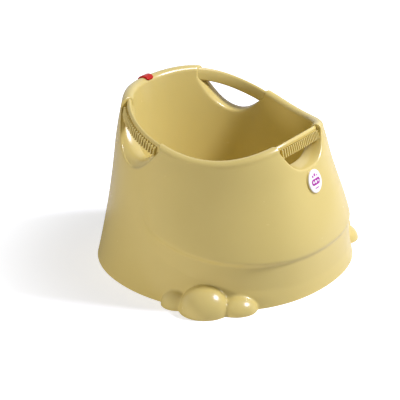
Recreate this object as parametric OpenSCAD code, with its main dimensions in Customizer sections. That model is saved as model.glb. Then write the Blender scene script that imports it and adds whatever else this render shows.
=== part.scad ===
// Sit-in baby bathtub, moulded in one piece with a double wall.
// The outer skirt flares down to the floor, rolls over at the rim and comes back down as the basin.
// Three notches run through both walls up to the rim, and a recessed handle bar bridges each of them.
// The front of the tub faces -Y. The origin is on the floor, under the middle of the base.
// Angles run round the tub from the front, through +X, to the back at 180 degrees.

/* [Base] */
// Mean radius of the skirt where it meets the floor
base_r = 215; // [180:1:260]
// Threefold wave of the base outline, which flattens its front a little
base_three = -6; // [-10:0.5:10]
// How far the foot of the skirt flares out past a straight wall
flare_out = 40; // [10:1:50]
// Height over which the skirt flares
flare_h = 195; // [100:5:220]
// Swell of the wall at half its height
wall_swell = 15; // [0:1:25]

/* [Rim] */
// Mean radius of the opening, at the inner edge of the rim
rim_r = 147.5; // [125:0.5:180]
// Twofold wave of the opening, which makes it wider than it is long
rim_oval = -7.8; // [-12:0.2:6]
// Fivefold wave of the opening, which gives its soft corners
rim_five = -2.5; // [-4:0.1:4]
// How far the opening sits behind the middle of the base
rim_back = 0.5; // [-12:0.5:12]
// Mean height of the rim's inner edge
rim_h = 248; // [200:1:300]
// Rise of the rim from its mean height to the back
rim_tilt = 28.4; // [0:0.2:40]
// Twofold wave of the rim's height, which lifts the front and the back
rim_saddle = 11.7; // [0:0.1:20]
// Threefold wave of the rim's height
rim_three = 5.8; // [-8:0.1:8]
// Fourfold wave of the rim's height
rim_dips = -3.5; // [-5:0.1:5]
// Width of the rolled rim
roll_w = 19; // [14:0.5:26]
// Height of the roll over its inner edge
roll_h = 9; // [6:0.5:14]

/* [Walls] */
// Thickness of the moulding
wall = 3; // [2:0.1:4]
// Height of the basin floor
floor_z = 34; // [24:1:60]
// Radius of the basin just above its floor corner
floor_r = 122; // [100:1:126]
// Radius of the corner between the basin wall and its floor
corner_r = 26; // [15:1:35]

/* [Belly] */
// Height of the lower edge of the belly at the front
belly_z = 64; // [50:1:90]
// Half of the angle that the belly takes up
belly_half = 103; // [90:1:110]
// How far the belly stands out at its lower edge
belly_out = 5; // [2:0.5:8]
// Width of the sloping band below the belly, at the front
belly_band = 42; // [25:1:48]
// Height where the lower edge of the belly ends, at the sides
belly_end = 150; // [120:1:180]
// Height where the belly has faded into the wall
belly_top = 190; // [160:1:200]

/* [Handles] */
// How far a handle bar lies below the rest of the rim
bar_drop = 4; // [2:0.5:6]
// Height of a handle bar below the edge of its own roll
bar_h = 12; // [11:0.5:20]
// How far a bar's faces lie back from the walls beside it
bar_inset = 2.5; // [1:0.5:4]
// Depth of the front notch below the rim
front_depth = 43; // [32:1:50]
// Half of the width of the front notch at the rim
front_hole = 68; // [56:1:70]
// Depth of a side notch below the chord of the rim
side_depth = 51; // [40:1:60]
// Half of the width of a side notch along the rim, at the inner wall
side_hole = 54.5; // [46:0.5:58]
// How much wider a side notch is at the outer wall, each way
side_draft = 5; // [0:0.5:9]
// Distance from the middle of the tub back to the middle of a side notch
side_mid = 67; // [58:1:70]
// How far the chord of a side notch lies below the rim line at its middle
side_sink = 7; // [0:0.5:10]
// Number of grip slots in a side bar
side_slots = 22; // [14:1:24]
// Number of grip slots in the front bar
front_slots = 21; // [14:1:23]
// Width of a grip slot
slot_w = 2.6; // [1.5:0.1:3]
// Depth of a grip slot
slot_d = 1.6; // [1:0.1:4]
// Height of a grip slot
slot_h = 11; // [8:0.5:14]

/* [Toes] */
// Height of the big toe
toe_h = 44; // [30:1:50]
// Half of the width of the big toe
toe_w = 41; // [30:1:46]

/* [Fittings] */
// Diameter of the round badge
badge_d = 38; // [30:1:44]
// Thickness of the badge at its middle
badge_t = 3.2; // [2:0.1:5]
// Height of the middle of the badge
badge_z = 168; // [150:1:172]
// Diameter of the drain hole
drain_d = 30; // [20:1:40]
// Distance from the middle of the tub forward to the drain
drain_y = 62; // [50:1:70]
// Clearance between the plug's stem and the drain hole
plug_fit = 0.4; // [0.2:0.05:0.8]
// Diameter of a rubber foot
foot_d = 34; // [24:1:40]
// Thickness of a rubber foot
foot_t = 6; // [4:0.5:8]
// Distance of the feet from the middle, both ways
foot_at = 62; // [50:1:66]
// Thickness of the non-slip mat
mat_t = 2.4; // [1.5:0.1:4]
// Clearance under the mat
mat_gap = 0.3; // [0.2:0.05:0.5]
// Length of the red clip along the rim
clip_l = 32; // [24:1:40]
// Radius of the clip's round middle
clip_r = 11.5; // [10.5:0.5:14]
// Thickness of the clip
clip_t = 2.6; // [1.5:0.1:4]
// Clearance between the clip and the rim
clip_gap = 0.3; // [0.2:0.05:0.5]

/* [Hidden] */

tub_colour = "#DCC98A";
rubber_colour = "#E9E4D6";
badge_colour = "#F6F4F2";
clip_colour = "#D22323";

// Small fourfold waves of the base and of the opening
base_four = -1.7;
rim_four = -1.2;
// Fullness of the belly's outline, and how much wider its band is
belly_full = 2.8;
band_reach = 0.97;
// Height of the step at the belly's lower edge, and its share of the push
step_h = 8;
step_share = 0.45;
// Least height over which the belly fades, and the angle over which its sides fade
least_fade = 20;
belly_side = 18;
// Fullness of the notches' outlines, and the skew and slope of a side notch
front_full = 3;
side_full = 2.1;
side_skew = 10;
side_slope = 19;
// Turn that each end of a bar keeps free of grip slots
slot_margin = 2.5;
// Turn by which a bar runs on past its last slots, and the pieces along it
bar_extra = 10;
bar_pieces = 10;
// Share of a slot's height that lies below the edge of the bar's roll
slot_low = 0.6;
// Distance from the middle at which the notches start, inside the basin
tunnel_from = 86;
// Distance between the two walls at a notch, over which it widens
wall_gap = 42;
// Turn, width, height and inset of each toe of one foot, from front to back
toe_turn = [53, 66, 78.5];
toe_width = [0.85, 1, 0.66];
toe_rise = [0.68, 1, 0.52];
toe_inset = [12, 2, 12];
// Extra width of the badge's seat, and how far the seat stands out of the wall
seat_rim = 3;
seat_out = 1.4;
// A value far past the walls, for cuts that run through them
far = 300;

function lerp(p, q, t) = p + (q - p) * t;
function clamp01(t) = min(max(t, 0), 1);
function smooth(t) = clamp01(t) * clamp01(t) * (3 - 2 * clamp01(t));
// The turn away from the front, 0 to 180 degrees, the same on both sides
function from_front(a) = abs(a > 180 ? a - 360 : a);
function polar(r, a, z) = [r * sin(a), -r * cos(a), z];

// Outline of the base, and of the opening, each about its own centre
function base_at(a) = base_r + base_three * cos(3 * a) + base_four * cos(4 * a);
// The base's wave makes it reach further back than forward, so its centre moves to even that out
base_centre = [0, (base_at(0) - base_at(180)) / 2, 0];
function rim_at(a) = rim_r + rim_oval * cos(2 * a) + rim_four * cos(4 * a) + rim_five * cos(5 * a);

// Height of the rim's inner edge
function rim_z(a) =
    rim_h - rim_tilt * cos(a) + rim_saddle * cos(2 * a) + rim_three * cos(3 * a) + rim_dips * cos(4 * a);

// A point of the opening's edge, moved out by d and up by h
function rim_point(a, d, h) = polar(rim_at(a) + d, a, rim_z(a) + h) + [0, rim_back, 0];

// A point over the roll: turn 0 is its inner edge and turn 180 its outer edge
function roll_point(a, turn, skin) =
    rim_point(a, skin + (roll_w / 2 - skin) * (1 - cos(turn)), (roll_h - skin) * sin(turn));

// Lower edge of the belly, and of the band below it, by the turn from the front
function belly_round(t) = pow(1 - pow(clamp01(t / belly_half), belly_full), 1 / belly_full);
function belly_line(t) = lerp(belly_end, belly_z, belly_round(t));
function band_line(t) = lerp(belly_end, belly_z - belly_band, belly_round(t * band_reach));

// How far the belly pushes the wall out at a height
function belly_push(a, z) =
    let (t = from_front(a), top = belly_line(t), low = band_line(t))
    let (slope = smooth((z - low) / max(top - low, 1)), step = smooth((z - top) / step_h + 0.5))
    let (rise = lerp(slope, step, step_share))
    let (fade = 1 - smooth((z - top) / max(belly_top - top, least_fade)))
    let (side = 1 - smooth((t - belly_half) / belly_side + 1))
    belly_out * rise * fade * side;

// A point of the skirt's outside: s is 0 at the rim and 1 at the floor
function skirt_point(a, s, skin) =
    let (top = roll_point(a, 180, 0), foot = polar(base_at(a) - flare_out, a, 0) + base_centre)
    let (p = lerp(top, foot, s))
    let (flare = flare_out * pow(clamp01(1 - p[2] / flare_h), 2) + wall_swell * 4 * s * (1 - s))
    p + polar(flare + belly_push(a, p[2]) - skin, a, 0);

// A point of the basin's inside: u is 0 at the rim and 1 at the start of the floor corner
function basin_point(a, u, skin) =
    let (top = rim_point(a, 0, 0), low = polar(floor_r, a, floor_z + corner_r))
    lerp(top, low, u) + polar(skin, a, 0);

// A point of the corner between basin wall and floor: turn 0 is the wall and turn 90 the floor
function corner_point(a, turn, skin) =
    polar(floor_r - corner_r + (corner_r + skin) * cos(turn), a,
          floor_z + corner_r - (corner_r + skin) * sin(turn));

// Angles round the tub
turn_count = 76;
turns = [for (k = [0 : turn_count - 1]) 360 * k / turn_count];

skirt_steps = [1, 0.97, 0.92, 0.86, 0.8, 0.75, 0.71, 0.67, 0.6, 0.48, 0.34, 0.2, 0.08];
skirt_inner_steps = [1, 0.8, 0.5, 0.2];

// A closed solid through rings of points, with a fan to a middle point at each end
module loft(rings, first_middle, last_middle) {
    n = len(rings[0]);
    m = len(rings);
    points = concat([first_middle], [for (ring = rings) for (p = ring) p], [last_middle]);
    last = n * m + 1;
    function at(j, i) = 1 + j * n + i % n;
    side = [for (j = [0 : m - 2]) for (i = [0 : n - 1])
            for (face = [[at(j, i), at(j + 1, i), at(j, i + 1)],
                         [at(j, i + 1), at(j + 1, i), at(j + 1, i + 1)]]) face];
    ends = [for (i = [0 : n - 1]) for (face = [[0, at(0, i), at(0, i + 1)],
                                               [last, at(m - 1, i + 1), at(m - 1, i)]]) face];
    polyhedron(points = points, faces = concat(side, ends), convexity = 8);
}

// Everything between the skirt's outside and the basin's inside, solid down to the floor
module thick_body() {
    rings = concat(
        [for (s = skirt_steps) [for (a = turns) skirt_point(a, s, 0)]],
        [for (turn = [180 : -30 : 0]) [for (a = turns) roll_point(a, turn, 0)]],
        [for (u = [0.1, 0.35, 0.65, 1]) [for (a = turns) basin_point(a, u, 0)]],
        [for (turn = [30 : 30 : 90]) [for (a = turns) corner_point(a, turn, 0)]]);
    loft(rings, [0, 0, 0], [0, 0, floor_z]);
}

// The hollow between the two walls, open underneath
module wall_hollow() {
    drop = [0, 0, -1];
    rings = concat(
        [[for (a = turns) skirt_point(a, 1, wall) + drop]],
        [for (s = skirt_inner_steps) [for (a = turns) skirt_point(a, s * 0.98, wall)]],
        [for (turn = [180, 90, 0]) [for (a = turns) roll_point(a, turn, wall)]],
        [for (u = [0.5, 1]) [for (a = turns) basin_point(a, u, wall)]],
        [for (turn = [45, 90]) [for (a = turns) corner_point(a, turn, wall)]]);
    loft(rings, drop, [0, 0, floor_z - wall]);
}

// Outline of a notch: its lower curve, and its two ends carried straight up past the rim
function notch_outline(half, depth, full, skew, slope) =
    let (up = 2 * depth * [sin(slope), cos(slope)])
    concat([[-half, 0] + up],
           [for (q = [-1 : 0.1 : 1]) [half * q - skew * (1 - q * q), -depth * (1 - pow(abs(q), full))]],
           [[half, 0] + up]);

// Each notch runs straight out through both walls, and a side notch widens on its way
module notches(grow) {
    run = far - tunnel_from;
    middle_turn = 90 + atan(side_mid / (rim_r + roll_w));
    inner_at = rim_r - tunnel_from - roll_w;
    widen = side_draft / (wall_gap * side_hole);
    start_half = side_hole * (1 - inner_at * widen);
    translate([0, -tunnel_from, rim_z(0)])
    rotate([90, 0, 0])
    linear_extrude(run)
    offset(delta = grow)
    polygon(notch_outline(front_hole, front_depth, front_full, 0, 0));
    for (side = [-1, 1])
        scale([side, 1, 1])
        translate([tunnel_from, side_mid, rim_z(middle_turn) - side_sink])
        rotate([90, 0, 90])
        rotate(side_slope)
        linear_extrude(run, slices = 1, scale = [1 + run * widen * side_hole / start_half, 1])
        offset(delta = grow)
        polygon(notch_outline(start_half, side_depth, side_full, side_skew, side_slope));
}

// Turn at which a point of the outer rim lies a distance to the right of, or behind, the middle
function front_turn(x) = asin(x / (rim_at(25) + roll_w));
function side_turn(y) = 90 + asin((y - rim_back) / (rim_at(115) + roll_w));

// Section of a handle bar: the rim's own roll, lower and set back, on a straight foot
function bar_ring(a) =
    let (drop = [0, 0, -bar_drop], foot = (bar_h + bar_drop) / rim_z(a))
    concat([basin_point(a, bar_h / (rim_z(a) - floor_z - corner_r), bar_inset) + drop],
           [for (turn = [0 : 30 : 180]) roll_point(a, turn, bar_inset) + drop],
           [skirt_point(a, foot, bar_inset)]);

module bar(from, to) {
    rings = [for (k = [0 : bar_pieces]) bar_ring(lerp(from, to, k / bar_pieces))];
    function middle(ring) = [for (p = ring) 1] * ring / len(ring);
    loft(rings, middle(rings[0]), middle(rings[bar_pieces]));
}

module slot_plate(out, width) {
    translate([out, 0, 0])
    cube([0.1, width, slot_h], center = true);
}

// Lean of the outer wall at the top of the skirt
function wall_lean(a) =
    let (top = skirt_point(a, 0, 0), low = skirt_point(a, 0.08, 0))
    atan2((low - top) * polar(1, a, 0), top[2] - low[2]);

// One grip slot, cut into the outer face of a bar, wider at its mouth
module grip_slot(a) {
    translate(rim_point(a, roll_w - bar_inset, -bar_drop))
    rotate([0, -wall_lean(a), a - 90])
    translate([0, 0, slot_h * (0.5 - slot_low)])
    hull() {
        slot_plate(-slot_d, slot_w * 0.7);
        slot_plate(roll_w / 3, slot_w * 1.2);
    }
}

// The bars with their slots, each ending inside the wall round its notch
module bars() {
    front_from = front_turn(front_hole) - slot_margin;
    reach = side_hole * cos(side_slope);
    side_from = side_turn(side_mid - reach) + slot_margin;
    side_to = side_turn(side_mid + reach) - slot_margin;
    intersection() {
        difference() {
            union() {
                bar(-front_from - bar_extra, front_from + bar_extra);
                for (side = [-1, 1])
                    scale([side, 1, 1])
                    bar(side_from - bar_extra, side_to + bar_extra);
            }
            for (k = [0 : front_slots - 1])
                grip_slot(front_from * (2 * k / (front_slots - 1) - 1));
            for (side = [-1, 1])
                for (k = [0 : side_slots - 1])
                    grip_slot(side * lerp(side_from, side_to, k / (side_slots - 1)));
        }
        notches(wall * 0.7);
    }
}

// Rounded toes at the foot of the skirt, three on each side
module toes(shrink) {
    fineness = shrink > 0 ? 14 : 20;
    for (side = [-1, 1])
        for (k = [0 : 2]) {
            half = toe_w * toe_width[k] - shrink;
            high = toe_h * toe_rise[k] - shrink;
            translate(base_centre)
            rotate([0, 0, side * toe_turn[k]])
            translate([0, toe_inset[k] - base_at(toe_turn[k]), 0])
            resize([2 * half, 2 * half, 2 * high])
            sphere(half, $fn = fineness);
        }
}

// Share of the way down the skirt at which its front is at a height
function skirt_share(z) = (roll_point(0, 180, 0)[2] - z) / roll_point(0, 180, 0)[2];
function front_point(z) = skirt_point(0, skirt_share(z), 0);

// Lean of the front wall behind the badge
badge_rise = front_point(badge_z - badge_d / 2) - front_point(badge_z + badge_d / 2);
badge_tilt = atan2(-badge_rise[1], -badge_rise[2]);

// Flat seat on the front wall, square to the wall behind the badge
module on_badge_seat() {
    translate(front_point(badge_z) - [0, seat_out, 0])
    rotate([90 - badge_tilt, 0, 0])
    children();
}

// Flat pads under the basin floor, which the rubber feet are bonded to
module foot_bosses() {
    for (x = [-foot_at, foot_at])
        for (y = [-foot_at, foot_at])
            translate([x, y, foot_t])
            cylinder(d = foot_d, h = floor_z - wall / 2 - foot_t, $fn = 32);
}

// Both walls with the notches, the hollow between them and the toes
module walls() {
    difference() {
        union() {
            thick_body();
            toes(0);
        }
        difference() {
            wall_hollow();
            notches(wall);
        }
        notches(0);
    }
}

module tub_shell() {
    color(tub_colour)
    difference() {
        union() {
            walls();
            bars();
            foot_bosses();
            on_badge_seat()
            translate([0, 0, -seat_out - wall / 2])
            cylinder(d = badge_d + seat_rim, h = seat_out + wall / 2, $fn = 48);
        }
        intersection() {
            toes(wall);
            translate([-far, -far, -1])
            cube([2 * far, 2 * far, toe_h]);
        }
        translate([-far, -far, -far])
        cube([2 * far, 2 * far, far]);
        translate([0, -drain_y, 0])
        cylinder(d = drain_d, h = floor_z + 1, $fn = 40);
    }
}

// Push-in plug: a flange on the floor, a stem through the hole and a finger tab
module drain_plug() {
    stem = drain_d - 2 * plug_fit;
    flange = drain_d + 8;
    color(rubber_colour)
    translate([0, -drain_y, floor_z]) {
        translate([0, 0, -8])
        cylinder(d = stem, h = 8);
        cylinder(d = flange, h = 2.5);
        translate([-2, -8, 2])
        cube([4, 16, 9]);
        translate([-2, 0, 11])
        rotate([0, 90, 0])
        cylinder(d = 16, h = 4);
    }
}

// Outline of the mat: a round seat area with its front edge kept clear of the drain
module mat_outline() {
    difference() {
        circle(floor_r - corner_r - 4);
        translate([-far, -drain_y - far + drain_d / 2 + 10])
        square([2 * far, far]);
    }
}

module seat_mat() {
    color(rubber_colour)
    translate([0, 0, floor_z + mat_gap])
    linear_extrude(mat_t)
    mat_outline();
}

module foot(x, y) {
    color(rubber_colour)
    translate([x, y, 0])
    cylinder(d = foot_d - 2, h = foot_t);
}

module foot_front_left() foot(-foot_at, -foot_at);
module foot_front_right() foot(foot_at, -foot_at);
module foot_back_left() foot(-foot_at, foot_at);
module foot_back_right() foot(foot_at, foot_at);

// A shallow dome on a straight edge
module badge() {
    edge = 1.4;
    rise = badge_t - edge;
    dome = [for (k = [0 : 8]) [badge_d / 2 * sin(90 * k / 8), edge + rise * (1 - pow(sin(90 * k / 8), 2))]];
    color(badge_colour)
    on_badge_seat()
    rotate_extrude()
    polygon(concat([[0, 0]], dome, [[badge_d / 2, 0]]));
}

// The rim's own section, grown by a gap and swept past both ends of the clip
module rim_run(gap) {
    span = clip_l / (rim_r + roll_w / 2) * 180 / PI;
    share = 0.08;
    rings = [for (a = [180 - span : span / 5 : 180 + span])
             concat([basin_point(a, share, -gap)],
                    [for (turn = [0 : 20 : 180])
                     roll_point(a, turn, 0) + polar(-gap * cos(turn), a, gap * sin(turn))],
                    [skirt_point(a, share, -gap)])];
    loft(rings, rim_point(180 - span, roll_w / 2, -10), rim_point(180 + span, roll_w / 2, -10));
}

// Outline of the clip from above: a round middle with an arm each way along the rim
module clip_outline() {
    tip = clip_r / 4;
    for (side = [-1, 1])
        hull() {
            circle(clip_r * 0.6, $fn = 32);
            translate([side * (clip_l / 2 - tip), 0])
            circle(tip, $fn = 32);
        }
    circle(clip_r, $fn = 48);
}

// A small clip that sits astride the back of the rim, with a lip over each edge of the roll
module rim_clip() {
    lip = 6;
    color(clip_colour)
    difference() {
        intersection() {
            rim_run(clip_gap + clip_t);
            translate(rim_point(180, roll_w / 2, -lip))
            linear_extrude(lip + roll_h + 2 * clip_t)
            clip_outline();
        }
        rim_run(clip_gap);
    }
}

tub_shell();
drain_plug();
seat_mat();
foot_front_left();
foot_front_right();
foot_back_left();
foot_back_right();
badge();
rim_clip();
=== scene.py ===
# %% [markdown]
# # A sit-in baby bathtub
#
# The tub is one injection moulding in pale yellow polypropylene. Its wall goes up from the floor as a
# flared skirt, rolls over at the rim and comes down again as the basin. Three notches run through both
# walls, with a ribbed handle bar across each. A few small pieces sit on it: a badge, a clip, a drain
# plug, a mat and four feet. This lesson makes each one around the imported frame.

# %% The frame
import math
import bmesh
import bpy
import numpy as np
from mathutils import Matrix, Vector
from mathutils.geometry import delaunay_2d_cdt


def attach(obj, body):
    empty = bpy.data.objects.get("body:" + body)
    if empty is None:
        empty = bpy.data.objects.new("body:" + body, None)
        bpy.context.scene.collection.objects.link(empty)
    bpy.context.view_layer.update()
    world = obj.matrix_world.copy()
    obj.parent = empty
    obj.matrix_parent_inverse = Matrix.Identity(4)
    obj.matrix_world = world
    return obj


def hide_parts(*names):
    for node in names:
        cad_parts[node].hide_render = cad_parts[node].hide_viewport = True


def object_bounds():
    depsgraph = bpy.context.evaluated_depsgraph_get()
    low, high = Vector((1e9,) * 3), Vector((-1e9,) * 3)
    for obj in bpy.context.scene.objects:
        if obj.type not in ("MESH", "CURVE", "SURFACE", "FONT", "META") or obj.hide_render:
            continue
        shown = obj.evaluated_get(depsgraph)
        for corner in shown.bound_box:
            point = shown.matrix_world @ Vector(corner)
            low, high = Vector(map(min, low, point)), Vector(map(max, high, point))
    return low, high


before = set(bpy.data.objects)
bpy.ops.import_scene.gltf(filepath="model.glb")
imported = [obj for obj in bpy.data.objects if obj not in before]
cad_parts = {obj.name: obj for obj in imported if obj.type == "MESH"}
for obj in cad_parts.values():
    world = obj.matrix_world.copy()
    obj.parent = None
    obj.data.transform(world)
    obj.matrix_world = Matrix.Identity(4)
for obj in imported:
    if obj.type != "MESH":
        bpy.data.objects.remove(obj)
cad_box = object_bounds()
MM = 0.001
print("frame box in metres", [[round(v, 4) for v in corner] for corner in cad_box])

# %% [markdown]
# ## Small helpers
#
# Every size below is in millimetres and every angle in degrees. An angle runs round the tub from the
# front, through its right side, to the back at 180. The helpers keep the formulas short.

# %% Helpers for shapes


def sind(angle):
    return np.sin(np.radians(angle))


def cosd(angle):
    return np.cos(np.radians(angle))


def lerp(p, q, t):
    return p + (q - p) * t


def smooth(t):
    t = np.clip(t, 0, 1)
    return t * t * (3 - 2 * t)


def mesh_object(name, points, faces, sharp_deg=40):
    """A smooth mesh object from points in millimetres, with its creases kept sharp"""
    mesh = bpy.data.meshes.new(name)
    mesh.from_pydata((np.asarray(points, dtype=float) * MM).tolist(), [], faces)
    mesh.validate()
    mesh.shade_smooth()
    mesh.set_sharp_from_angle(angle=math.radians(sharp_deg))
    made = bpy.data.objects.new(name, mesh)
    bpy.context.scene.collection.objects.link(made)
    return made


def ring_faces(rows, around):
    """Faces between rings of points that lie one after the other, and one over each end"""
    sides = []
    for j in range(rows - 1):
        for k in range(around):
            n = (k + 1) % around
            sides.append([j * around + k, j * around + n, (j + 1) * around + n, (j + 1) * around + k])
    return sides + [list(range(around))[::-1], list(range((rows - 1) * around, rows * around))]


def bake_modifiers(piece):
    """Turns a piece with modifiers into a plain mesh, so that nothing on it stays live"""
    shown = piece.evaluated_get(bpy.context.evaluated_depsgraph_get())
    baked = bpy.data.meshes.new_from_object(shown)
    piece.modifiers.clear()
    piece.data = baked
    return piece


# %% [markdown]
# ## The form of the shell
#
# The opening and the base are circles with a few soft waves, and the rim rises to the back. These are
# the sizes of the real moulding.

# %% Sizes of the shell
base_r = 215.0
base_three = -6.0
base_four = -1.7
flare_out = 40.0
flare_h = 195.0
wall_swell = 15.0
rim_r = 147.5
rim_oval = -7.8
rim_four = -1.2
rim_five = -2.5
rim_back = 0.5
rim_h = 248.0
rim_tilt = 28.4
rim_saddle = 11.7
rim_three = 5.8
rim_dips = -3.5
rim_sag = 7.5
sag_from = 8.0
sag_span = 96.0
roll_w = 19.0
roll_h = 9.0
wall = 3.0
floor_z = 34.0
floor_r = 122.0
corner_r = 26.0

# %% Outlines of the base and of the rim


def base_at(turn):
    return base_r + base_three * cosd(3 * turn) + base_four * cosd(4 * turn)


def rim_at(turn):
    return rim_r + rim_oval * cosd(2 * turn) + rim_four * cosd(4 * turn) + rim_five * cosd(5 * turn)


base_shift = (base_at(0) - base_at(180)) / 2


def from_front(turn):
    return np.abs((np.asarray(turn, dtype=float) + 180) % 360 - 180)


def rim_z(turn):
    waves = rim_saddle * cosd(2 * turn) + rim_three * cosd(3 * turn) + rim_dips * cosd(4 * turn)
    sag = rim_sag * sind(180 * np.clip((from_front(turn) - sag_from) / sag_span, 0, 1)) ** 2
    return rim_h - rim_tilt * cosd(turn) + waves - sag


print("base is", round(float(2 * base_at(90))), "mm wide, back rim at", round(float(rim_z(180)), 1), "mm")

# %% [markdown]
# ## The belly on the skirt
#
# Low on the skirt a band slopes outwards and ends in a small soft step. Above it the wall swells like
# a belly and fades upwards. A push along the outward direction, given by height and angle, makes it.

# %% Push of the belly
belly_z = 64.0
belly_half = 100.0
belly_out = 9.0
belly_band = 42.0
belly_end = 150.0
belly_top = 190.0
belly_full = 2.3
band_reach = 0.97
belly_side = 16.0
side_start = 0.7
step_h = 10.0
step_share = 0.5
band_round = 0.03
least_fade = 20.0


def belly_round(t):
    return (1 - np.clip(t / belly_half, 0, 1) ** belly_full) ** (1 / belly_full)


def belly_push(turn, z):
    t = from_front(turn)
    top = lerp(belly_end, belly_z, belly_round(t))
    low = lerp(belly_end, belly_z - belly_band, belly_round(t * band_reach))
    rise = np.clip((z - low) / np.maximum(top - low, 1), -1, 1)
    slope = (rise + np.sqrt(rise ** 2 + band_round ** 2)) / 2
    step = smooth((z - top) / step_h + 0.5)
    fade = 1 - smooth((z - top) / np.maximum(belly_top - top, least_fade))
    side = 1 - smooth((t - belly_half) / belly_side + side_start)
    return belly_out * lerp(slope, step, step_share) * fade * side


# %% [markdown]
# ## The two walls
#
# Each wall is known by its radius at an angle and a height. The skirt leans in from the flared foot to
# the rim, and the basin tapers down to its floor.

# %% Radius of each wall


def skirt_section(turn, z):
    """Radius of the skirt's outside, and how far its middle lies back"""
    share = 1 - z / rim_z(turn)
    flare = flare_out * np.clip(1 - z / flare_h, 0, 1) ** 2 + wall_swell * 4 * share * (1 - share)
    straight = lerp(rim_at(turn) + roll_w, base_at(turn) - flare_out, share)
    return straight + flare + belly_push(turn, z), lerp(rim_back, base_shift, share)


def basin_section(turn, z):
    """Radius of the basin's inside, and how far its middle lies back"""
    top = rim_z(turn)
    share = (top - z) / (top - floor_z - corner_r)
    return lerp(rim_at(turn), floor_r, share), lerp(rim_back, 0, share)


def round_point(turn, radius, shift, z):
    """A point at a radius and a height round an upright axis that lies a little back"""
    return np.stack([radius * sind(turn), shift - radius * cosd(turn), z + 0 * radius], axis=-1)


def wall_point(section, turn, z):
    return round_point(turn, *section(turn, z), z)


def rim_point(turn, out, up):
    return round_point(turn, rim_at(turn) + out, rim_back, rim_z(turn) + up)


# %% [markdown]
# ## The toes
#
# Three rounded toes grow out of the skirt on each side, moulded with it. A sphere pushed through the
# wall would leave a hard crease, so the wall and the toes are joined by a soft minimum of their
# distances, and each point of the wall slides out along a ray until it reaches that joined surface.

# %% Distance to the wall and to the toes
toe_h = 44.0
toe_w = 40.6
toe_turn = [53.0, 66.0, 78.5]
toe_width = [0.85, 1.0, 0.66]
toe_rise = [0.56, 0.92, 0.56]
toe_inset = [11.0, 2.0, 8.0]
toe_blend = 3.0
toe_reach = {"least x": 120, "most y": 60, "most z": 75}
ray_depth = 60.0
ray_steps = np.linspace(2.2, 1.0, 61)
ray_halvings = 20


def soft_min(p, q, blend):
    near = np.maximum(blend - np.abs(p - q), 0) / blend
    return np.minimum(p, q) - near * near * blend / 4


def base_point(turn, inset):
    """A point on the floor, inside the outline of the base"""
    return round_point(turn, base_at(turn) - inset, base_shift, 0)


def foot_distance(points):
    """Signed distance to the skirt and the right foot's three toes, joined softly"""
    x, y, z = points[..., 0], points[..., 1], points[..., 2]
    turn = np.degrees(np.arctan2(x, base_shift - y))
    radius, shift = skirt_section(turn, z)
    found = np.hypot(x, y - shift) - radius
    for place, width, rise, inset in zip(toe_turn, toe_width, toe_rise, toe_inset):
        size = np.array([toe_w * width, toe_w * width, toe_h * rise])
        local = points - base_point(place, inset)
        unit = np.linalg.norm(local / size, axis=-1)
        steep = np.maximum(np.linalg.norm(local / size ** 2, axis=-1), 1e-9)
        found = soft_min(found, unit * (unit - 1) / steep, toe_blend)
    return found


def push_toes(points):
    """Slides the wall's points near each foot out to the toes"""
    moved = points.copy()
    for side in (-1, 1):
        mirror = np.array([side, 1, 1])
        local = points * mirror
        near = local[:, 0] > toe_reach["least x"]
        near &= (local[:, 1] < toe_reach["most y"]) & (local[:, 2] < toe_reach["most z"])
        eye = base_point(toe_turn[1], ray_depth)
        rays = local[near] - eye
        low = np.ones(len(rays))
        high = np.ones(len(rays))
        done = np.zeros(len(rays), dtype=bool)
        for before, step in zip(ray_steps, ray_steps[1:]):
            new = (foot_distance(eye + rays * step) < 0) & ~done
            low[new] = step
            high[new] = before
            done |= new
        for _ in range(ray_halvings):
            middle = (low + high) / 2
            inside = foot_distance(eye + rays * middle[:, None]) < 0
            low = np.where(inside & done, middle, low)
            high = np.where(inside | ~done, high, middle)
        moved[near] = (eye + rays * np.maximum(low, 1)[:, None]) * mirror
    return moved


# %% [markdown]
# ## The notches
#
# Seen straight on, each notch is a smile with its two ends carried straight up to the rim. It runs
# straight out through both walls, and a side notch is a little wider at the outer one.

# %% Outlines of the notches
front_depth = 43.0
front_hole = 68.0
front_full = 3.0
side_depth = 42.0
side_hole = 51.5
side_draft = 5.5
side_outer_depth = 51.0
side_full = 2.1
side_skew = 10.0
side_slope = 19.0
side_mid = 62.3
side_sink = 7.0
side_middle_turn = 115.0
under_rim = 1.0
edge_count = 71
meet_rounds = 60
rim_search = {0: (-60, 60, 481), 1: (70, 165, 381)}


def smile(half, depth, full, skew, slope, middle, height):
    """The lower edge of a notch, from one side to the other, as places across and heights"""
    q = np.linspace(-1, 1, 161)
    along = half * q - skew * (1 - q * q)
    up = -depth * (1 - np.abs(q) ** full)
    across = middle + along * cosd(slope) - up * sind(slope)
    return np.stack([across, height + along * sind(slope) + up * cosd(slope)], axis=-1)


def side_smile(half, depth):
    height = rim_z(side_middle_turn) - side_sink
    return smile(half, depth, side_full, side_skew, side_slope, side_mid, height)


front_smile = smile(front_hole, front_depth, front_full, 0, 0, 0, rim_z(0))
side_outer = side_smile(side_hole + side_draft, side_outer_depth)
notch_smiles = {0: (front_smile, front_smile), 1: (side_outer, side_smile(side_hole, side_depth))}


def turn_where(axis, out, across):
    """Turn at which the rim's edge, moved out, lies at a place across a notch: axis 0 is x, 1 is y"""
    t = np.linspace(*rim_search[axis])
    return np.interp(across, rim_point(t, out, 0)[:, axis], t)


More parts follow.
